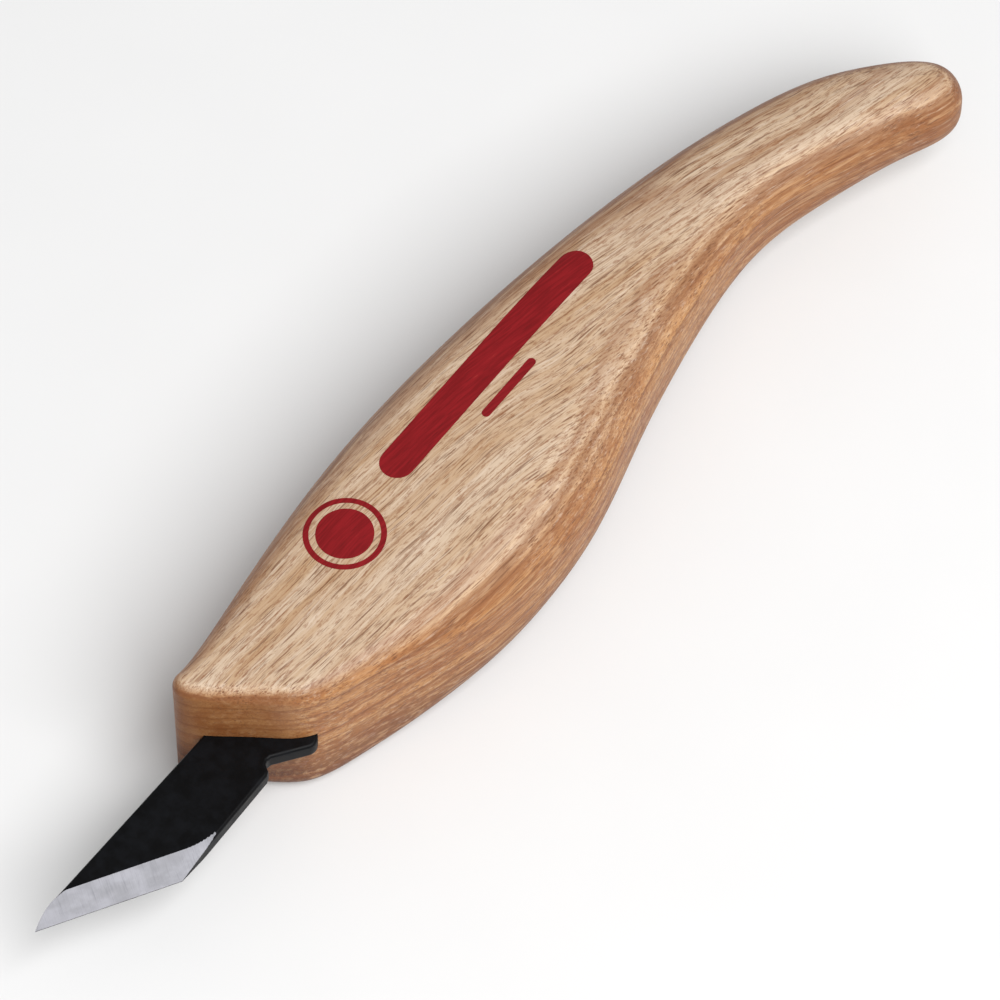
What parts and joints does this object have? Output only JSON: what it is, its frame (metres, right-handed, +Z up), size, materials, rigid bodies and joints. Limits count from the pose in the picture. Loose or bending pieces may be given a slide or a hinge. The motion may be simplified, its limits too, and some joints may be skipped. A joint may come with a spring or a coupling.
{
  "type": "skew block-cutting knife",
  "caption": "Fixed-blade skew knife for cutting lino and wood blocks: a short bevelled skew blade set in a hardwood handle with a palm swell and a slim drooping tail.",
  "frame": {"origin": "middle of the whole knife's bounding box in plan, on the surface the knife lies on", "axes": "+X along the knife from the blade's tip to the butt, +Y to the knife's back, +Z up, square to the blade plate"},
  "size_m": [0.162, 0.0316, 0.023],
  "materials": {
    "handle_wood": "pale ring-porous hardwood, clear satin lacquer",
    "blade_steel": "black heat scale, satin, with a fine-ground bright bevel",
    "cured_epoxy": "amber, glossy",
    "print_ink": "dark red ink under lacquer"
  },
  "bodies": {
    "root": {"handle": "handle_wood", "blade": "blade_steel", "tang_adhesive": "cured_epoxy"}
  },
  "joints": []
}
